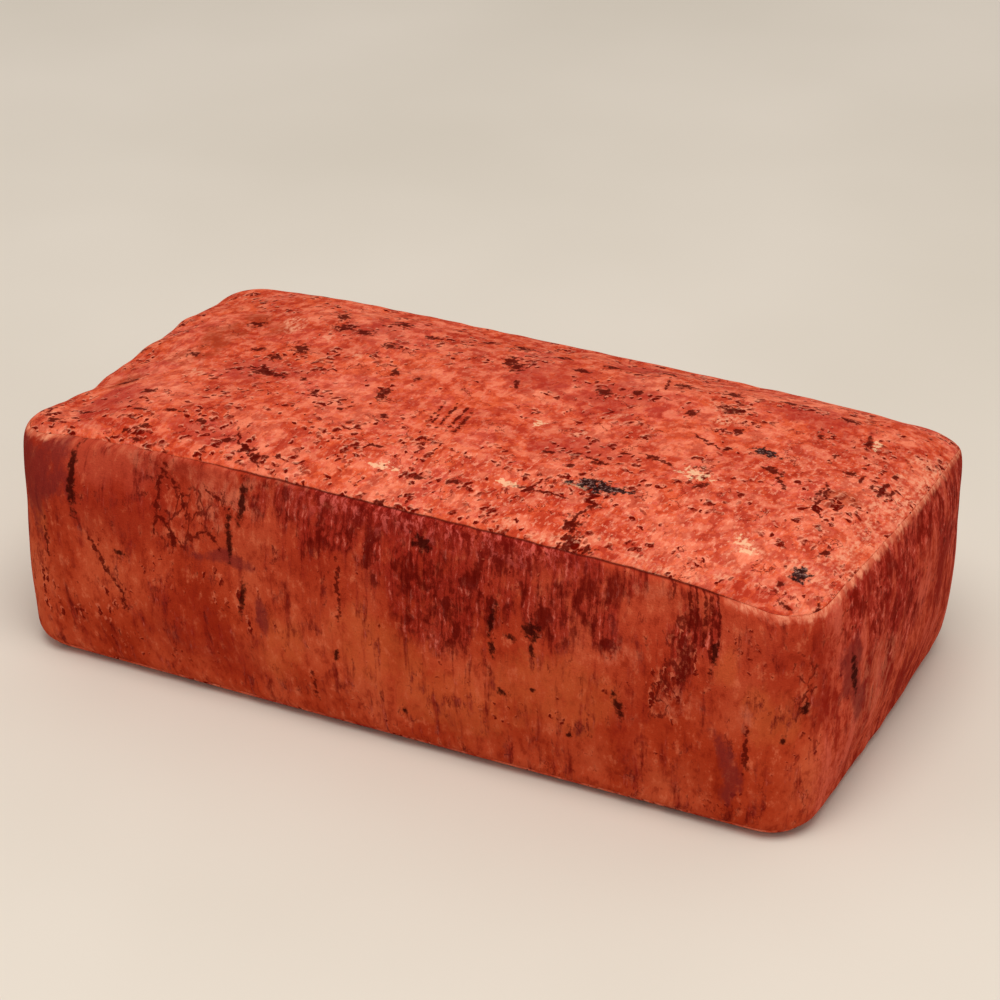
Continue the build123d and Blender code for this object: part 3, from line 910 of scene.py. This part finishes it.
def streaks(net, cloth, upper, right):
    """Crimson, dark and pink streaks down from the top seam, and a rosier right end."""
    drip = net.noise(net.scaled(cloth, 1, 0.12), 3, 5, 0.65)
    torn = net.shaken(cloth, 3, 0.6)
    ridges = net.noise(net.scaled(torn, 1, 0.1), 1, 4, 0.65)
    speckle = net.noise(net.scaled(torn, 1, 0.6), 1.8, 5, 0.72)
    fibres = net.plus(net.times(ridges, 0.6), net.times(speckle, 0.4))
    fibres = net.plus(fibres, net.excess(speckle, ridges, net.times(right, 0.45)))
    clots = net.noise(net.scaled(torn, 1, 0.6), 5, 4, 0.6)
    dark = net.mix(right, (90, 10, 5), (116, 16, 6))
    pink = net.mix(right, (222, 114, 96), (232, 122, 102))

    rosy = net.mix(net.ramp(fibres, 0.4, 0.58), (158, 40, 24), (206, 86, 62))
    net.lay(rosy, right, 0.65)
    broad = net.noise(net.scaled(torn, 1, 0.3), 9, 4, 0.6)
    net.tint((216, 98, 76), broad, 0.52, 0.66, 0.6, right)
    net.tint((134, 22, 12), broad, 0.5, 0.37, 0.85, right)

    inside = net.ramp(net.plus(upper, net.excess(drip, 0.5, 2.6)), 0, 1.05)
    net.lay(net.mix(right, (146, 34, 26), (176, 52, 40)), inside, 0.7)
    net.tint(pink, fibres, 0.55, 0.67, 0.8, inside)
    net.tint(dark, fibres, 0.5, 0.41, 0.7, inside)
    net.tint(dark, clots, 0.53, 0.41, 0.85, inside)
    not_left = net.ramp(net.split(cloth)[0], -70, -40)
    net.lay((138, 32, 18), net.ramp(drip, 0.57, 0.74, 0.35), not_left)


def blushed(net, cloth, place):
    """Pink and crimson mottling under the top seam."""
    flecks = net.noise(net.scaled(net.shaken(cloth, 2, 1), 1, 0.5), 2.2, 5, 0.7)
    net.lay((150, 38, 30), place, 0.5)
    net.tint((220, 98, 88), flecks, 0.51, 0.63, 0.7, place)
    net.tint((104, 12, 8), flecks, 0.49, 0.39, 0.85, place)


def stretch(net, along, start, end, soft=8):
    """1 between two places along the band, fading outside them."""
    return net.times(net.ramp(along, start - soft, start), net.ramp(along, end + soft, end))


def crackled(net, tall, crackle, crust):
    """Rough patches with a net of short dark cracks."""
    walls = net.cells(net.shaken(tall, 2.6, 2.6, 4), 4.6, feature="DISTANCE_TO_EDGE").outputs["Distance"]
    gaps = net.ramp(net.plus(crackle, net.excess(crust, 0.5, 3)), 0.4, 0.9)
    rough = net.times(net.ramp(crackle, 0.3, 0.9), net.ramp(crust, 0.48, 0.62))
    net.lay((206, 102, 72), rough, 0.32)
    net.lay((98, 16, 8), net.times(net.ramp(walls, 0.13, 0.03), gaps), 0.85)


def seam_highlight_and_shade(net, cloth, crust):
    """The top seam's light edge at both ends, partly wear and partly painted highlight, and the dark line of
    both seams, which is painted shade.
    """
    along, height, from_seam = net.split(cloth)
    near = net.math("MAXIMUM", stretch(net, along, 102, 240, 6), stretch(net, along, -128, -104, 6))
    crumbs = net.times(net.noise(cloth, 2.2, 4, 0.6), 4.5)
    rolled_edge_highlight = net.ramp(net.plus(height, crumbs), 69.8, 72.2)
    edge = net.mix(net.ramp(crust, 0.42, 0.62), (198, 92, 66), (228, 140, 108))
    # Painted highlight, partly wear: the top edge made lighter near both ends, where the band rolls over it.
    net.lay(edge, rolled_edge_highlight, near)
    # Painted shade: both seams' creases darkened to a dark line, less where the top seam is drawn in only a
    # little.
    net.tint((92, 18, 12), from_seam, 0.5, 0.1, 0.7)


def side_print(name, fields):
    """The band's fabric: darker brick with upright streaks down from the top."""
    net = Net(name)
    cloth = net.field("print")
    along, height, _ = net.split(cloth)
    tall = net.scaled(cloth, 1, 0.6)
    crust = side_ground(net, tall, height)
    blotch = net.noise(tall, 7, 6, 0.7)
    upper, tan, deep = ragged_zones(net, "patches", blotch)
    pink_and_highlight, smoke, crackle = ragged_zones(net, "blots_and_highlight", blotch)
    patches_and_edge_highlight(net, tall, tan, deep)
    streaks(net, cloth, upper, stretch(net, along, 128, 240))
    under_seam = net.times(stretch(net, along, -14, 46, 20), net.ramp(height, 60, 69))
    blushed(net, cloth, under_seam)
    # Pinkish patches, and painted highlight close under the top seam.
    light_and_highlight = net.ramp(pink_and_highlight, 0.4, 1.2, 0.5)
    net.lay((212, 110, 82), light_and_highlight, net.ramp(crust, 0.4, 0.58))
    crackled(net, tall, crackle, crust)

    torn = net.shaken(cloth, 1.6, 1.2)
    more = net.excess(net.noise(cloth, 14), 0.56, 1.6)
    swollen = net.math("SUBTRACT", net.times(net.split(net.field("spots"))[0], 1.2), 0.7)
    layers = [
        (net.scaled(torn, 1.2, 0.45), 2.3, 0.42, 0.34, swollen, 0.6),
        (net.scaled(torn, 1, 0.9), 2, 0.26, 0.22, more, 0.3),
        (net.scaled(torn, 1, 0.8), 6, 0.28, 0.15, more, 0.35),
    ]
    grain, depth = net.noise(cloth, 0.9, 3, 0.7), net.noise(cloth, 5, 3, 0.6)
    pitted(net, layers, (108, 18, 8), (216, 110, 80), grain, depth)
    hair = net.times(hairlines(net, net.scaled(cloth, 1, 0.35), 10, 0.012), net.ramp(blotch, 0.5, 0.58))
    net.lay((104, 18, 10), hair, 0.6)
    net.tint((124, 38, 34), smoke, 0.2, 0.9, 0.75)
    wobble = net.noise(cloth, 1.7, 3, 0.6)
    cracks = net.marks("cracks", fields, wobble, 0.5, 2.2, net.crooked(cloth, 3.5, 3.5))
    net.lay((88, 12, 6), cracks, 0.88)
    net.lay((52, 8, 5), net.marks("chips", fields, wobble, 0.5, 1.5), 0.92)
    seam_highlight_and_shade(net, cloth, crust)
    net.nap(cloth)
    return net.finish()


# --- pieces ---
FINE, COARSE = 1.7, 2.4  # mm between the covers' points


def give(piece, material, node):
    piece.data.materials.append(material)
    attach(piece, "root")
    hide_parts(node)


def cover(piece, look, part, node):
    """Gives a cover its printed fabric."""
    material = look(f"{part}_cloth", [attribute.name for attribute in piece.data.attributes])
    give(piece, material, node)


cover(panel("top_cover", top_points, FINE, False), top_print, "top", "top_panel")
cover(panel("bottom_cover", bottom_points, COARSE, True), top_print, "bottom", "bottom_panel")
cover(side("side_cover", FINE), side_print, "side", "side_band")


# --- the filling and the thread, under the covers ---
CORE_INSET, WADDING_INSET = 7.2, 3  # of the foam and of the wadding round it, from the cover's outside
SEAM_STITCHES, JOIN_STITCHES, CLOSING_STITCHES = 219, 8, 14


def rumpled(points):
    """The points moved about a little, like fibre wadding."""
    x, y, z = points.T
    return points + 0.35 * np.stack([waves(y, z, 15, 31), waves(z, x, 15, 32), waves(x, y, 15, 33)], -1)


def foam_block():
    """The block in the middle."""
    points, faces, _ = closed_box((44, 22, 12), lambda u, v, w: level(u, v, w, CORE_INSET))
    return points, faces


def wadding_pad(end):
    """The pad at one end, 1 for the right and -1 for the left."""
    start = (HALF_L - CORE_INSET + 0.2) / (HALF_L - WADDING_INSET)
    points, faces, _ = closed_box(
        (2, 24, 14), lambda u, v, w: level(end * (start + (1 - start) * (u + 1) / 2), v, w, WADDING_INSET)
    )
    return rumpled(points), faces[:, ::end]


def wadding_girth():
    """The layer wrapped round the long block, open at both ends."""
    section = np.meshgrid(np.linspace(-1, 1, 29), np.linspace(-1, 1, 15), indexing="ij")
    v, w = (walk_round(table) for table in section)
    stations = np.linspace(-1, 1, 48) * (HALF_L - CORE_INSET)
    layers = []
    for inset in (WADDING_INSET, CORE_INSET - 0.3):
        layers.append(np.stack([level(x / (HALF_L - inset) + 0 * v, v, w, inset) for x in stations]))
    outer = np.arange(len(stations) * len(v)).reshape(len(stations), -1)
    inner = outer + outer.size
    faces = [wall_faces(outer), wall_faces(inner)[:, ::-1]]
    for row, turn in ((0, 1), (-1, -1)):
        a, b = outer[row], inner[row]
        faces.append(np.stack([a, b, np.roll(b, -1), np.roll(a, -1)], -1)[:, ::turn])
    points = np.concatenate([rumpled(layers[0].reshape(-1, 3)), layers[1].reshape(-1, 3)])
    return points, np.concatenate(faces)


def soft_block(name, points, faces, material, node, slot):
    """A piece of the filling."""
    piece = mesh_object(name, points, faces, {"place": points})
    rounded = piece.modifiers.new("rounded", "SUBSURF")
    rounded.levels = rounded.render_levels = 1
    give(piece, material, node)


def unit(vectors):
    return vectors / np.linalg.norm(vectors, axis=-1, keepdims=True)


def threads(name, lines, node, radius=0.25):
    """One thread piece with rounded ends along each line of points."""
    lines = np.asarray(lines)
    ahead = unit(np.gradient(lines, axis=1))
    across = unit(np.cross(ahead, (0.25, 0.17, 0.95)))
    over = np.cross(across, ahead)
    share = np.linspace(-1, 1, lines.shape[1])
    wide = radius * np.sqrt(np.clip(1.06 - share**6, 0, 1))[None, :, None, None]
    turn = np.linspace(0, 2 * math.pi, 6, endpoint=False)[None, None, :, None]
    points = lines[:, :, None] + wide * (np.cos(turn) * across[:, :, None] + np.sin(turn) * over[:, :, None])
    number = np.arange(points[..., 0].size).reshape(points.shape[:3])
    lids = number[:, 0, ::-1].tolist() + number[:, -1].tolist()
    none = 0 * points[..., 0]
    field = np.stack([share[None, :, None] * 3 + none, turn[..., 0] + none, none], -1).reshape(-1, 3)
    faces = wall_faces(number).tolist() + lids
    piece = mesh_object(name, points.reshape(-1, 3), faces, {"place": field})
    give(piece, THREAD_FINISH, node)


def seam_path(share, inward, lift):
    """A line round the cushion beside a seam of the band, inside the fabric."""
    u, v, along = edge_loop(3)
    line = band_points(u, v, along, share + 0 * u, 0)
    ahead = unit(np.gradient(line[:, :2], axis=0))
    line[:, :2] += inward * np.stack([-ahead[:, 1], ahead[:, 0]], -1)
    line[:, 2] += lift
    return line


def stitched(line, count, steps=5):
    """The line cut into that many stitches with gaps between them."""
    lengths = np.concatenate([[0], np.cumsum(np.linalg.norm(np.diff(line, axis=0), axis=1))])
    ends = (np.arange(count)[:, None] + np.linspace(0.1, 0.9, steps)) / count * lengths[-1]
    return np.stack([np.interp(ends, lengths, line[:, axis]) for axis in range(3)], -1)


def join_line():
    """The line of the join's stitches, behind the fabric."""
    low, high = np.array(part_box("band_join_stitches")) / MM - CENTRE
    z = np.linspace(low[2] - 0.3, high[2] + 0.3, 30)
    share = (z - BOTTOM_SEAM_Z) / (seam_height(JOIN_U * HALF_L, HALF_W) - BOTTOM_SEAM_Z)
    line = band_points(JOIN_U + 0 * z, 1 + 0 * z, 0 * z, share, 0)
    return line + (0.9, -2.9, 0)


def closing_lines():
    """Hand stitches across the outside of the back bottom seam, where the cushion was closed."""
    low, high = np.array(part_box("closing_stitches")) / MM - CENTRE
    lines = []
    for i in range(CLOSING_STITCHES):
        u = (low[0] + (high[0] - low[0]) * (i + 0.04) / (CLOSING_STITCHES - 0.92)) / HALF_L
        under = bottom_points(u, 1 - 1.5 / HALF_W, 0)
        over = band_points(u, 1, 0, 1.5 / BAND_HEIGHT, 0)
        t = np.linspace(0, 1, 6)[:, None]
        proud = (0.25 + 0.15 * np.sin(math.pi * t)) * np.array([0, 0.71, -0.7])
        lines.append(under * (1 - t) + over * t + proud)
    return lines


def foam_finish():
    """Pale open-cell foam."""
    net = Net("foam_cells", 0.95)
    place = net.field("place")
    cell = net.add("TexVoronoi", {"Vector": place, "Scale": 1.1}).outputs["Distance"]
    tint = net.add("TexNoise", {"Vector": place, "Scale": 0.05, "Detail": 3}).outputs["Fac"]
    net.colour = net.colours(tint, [(0.35, (226, 208, 158)), (0.65, (238, 224, 182))])
    net.lay((178, 150, 100), net.ramp(cell, 0.1, 0.6, 0, 0.5))
    net.bump(cell, 0.6, 0.0006)
    return net.finish()


def wadding_finish():
    """White fibre wadding."""
    net = Net("fibre_wadding", 1)
    drawn = net.vector("MULTIPLY", net.field("place"), (0.25, 1.6, 1.6))
    values = {"Vector": drawn, "Scale": 0.9, "Detail": 5, "Roughness": 0.7}
    fibre = net.add("TexNoise", values).outputs["Fac"]
    net.colour = net.colours(fibre, [(0.3, (204, 204, 200)), (0.5, (232, 232, 228)), (0.7, (246, 246, 243))])
    net.bump(fibre, 0.7, 0.001)
    net.shader.inputs["Sheen Weight"].default_value = 0.3
    return net.finish()


def thread_finish():
    """Dark red twisted thread."""
    net = Net("sewing_thread", 0.55)
    along, turn, _ = net.split(net.field("place"))
    twist = net.math("SINE", net.plus(net.times(along, 6.3), turn))
    net.colour = net.mix(net.ramp(twist, -1, 1), (92, 20, 18), (150, 40, 34))
    net.bump(twist, 0.5, 0.0001)
    return net.finish()


THREAD_FINISH, WADDING_FINISH = thread_finish(), wadding_finish()
soft_block("foam_block", *foam_block(), foam_finish(), "foam_core", "foam")
soft_block("wadding_girth", *wadding_girth(), WADDING_FINISH, "wadding_wrap", "wadding")
for side_name, end in (("left", -1), ("right", 1)):
    pad = wadding_pad(end)
    soft_block(f"wadding_{side_name}_pad", *pad, WADDING_FINISH, f"wadding_{side_name}_end", "wadding")
threads("top_seam_thread", stitched(seam_path(1, 0.7, -2.1), SEAM_STITCHES), "top_seam_stitches")
threads("bottom_seam_thread", stitched(seam_path(0, 0.9, 2), SEAM_STITCHES), "bottom_seam_stitches")
threads("band_join_thread", stitched(join_line(), JOIN_STITCHES), "band_join_stitches")
threads("closing_thread", closing_lines(), "closing_stitches")


# --- camera, light and floor ---
def camera(azimuth, elevation, roll, distance, target, lens):
    """Looks at the target, in mm in the shape's own frame; azimuth is to the right of the front."""
    az, el = math.radians(azimuth), math.radians(elevation)
    back = Vector((math.sin(az) * math.cos(el), -math.cos(az) * math.cos(el), math.sin(el)))
    data = bpy.data.cameras.new("camera")
    data.lens, data.sensor_width = lens, 36
    made = placed("camera", data)
    made.location = (Vector(target) + Vector(CENTRE) + back * distance) * MM
    made.rotation_euler = back.to_track_quat("Z", "Y").to_euler()
    made.rotation_euler.rotate_axis("Z", math.radians(roll))
    bpy.context.scene.camera = made


def area_light(name, place, aim, size, power, colour):
    data = bpy.data.lights.new(name, "AREA")
    data.shape, data.size, data.energy, data.color = "DISK", size, power, colour
    made = placed(name, data)
    made.location = place
    made.rotation_euler = (Vector(aim) - Vector(place)).to_track_quat("-Z", "Y").to_euler()


def floor(half=12):
    mesh = bpy.data.meshes.new("floor")
    corners = [(-half, -half, 0), (half, -half, 0), (half, half, 0), (-half, half, 0)]
    mesh.from_pydata(corners, [], [(0, 1, 2, 3)])
    net = Net("floor", 0.95)
    mottle = net.noise(net.add("NewGeometry", {}).outputs["Position"], 0.25)
    net.colour = net.colours(mottle, [(0.3, (214, 206, 194)), (0.7, (222, 214, 203))])
    mesh.materials.append(net.finish())
    placed("floor", mesh)


def world(strength):
    made = bpy.data.worlds.new("world")
    bpy.context.scene.world = made
    made.use_nodes = True
    sockets = made.node_tree.nodes["Background"].inputs
    sockets["Color"].default_value = (1, 0.96, 0.91, 1)
    sockets["Strength"].default_value = strength


camera(azimuth=25.34, elevation=28.42, roll=0.39, distance=886, target=(-9.5, 26.5, 30), lens=107.3)
area_light("key", (0.25, -0.45, 1.35), aim=(0, 0, 0.05), size=1, power=14, colour=(1, 0.97, 0.93))
floor()
world(strength=0.55)
bpy.context.scene.view_settings.view_transform = "Standard"
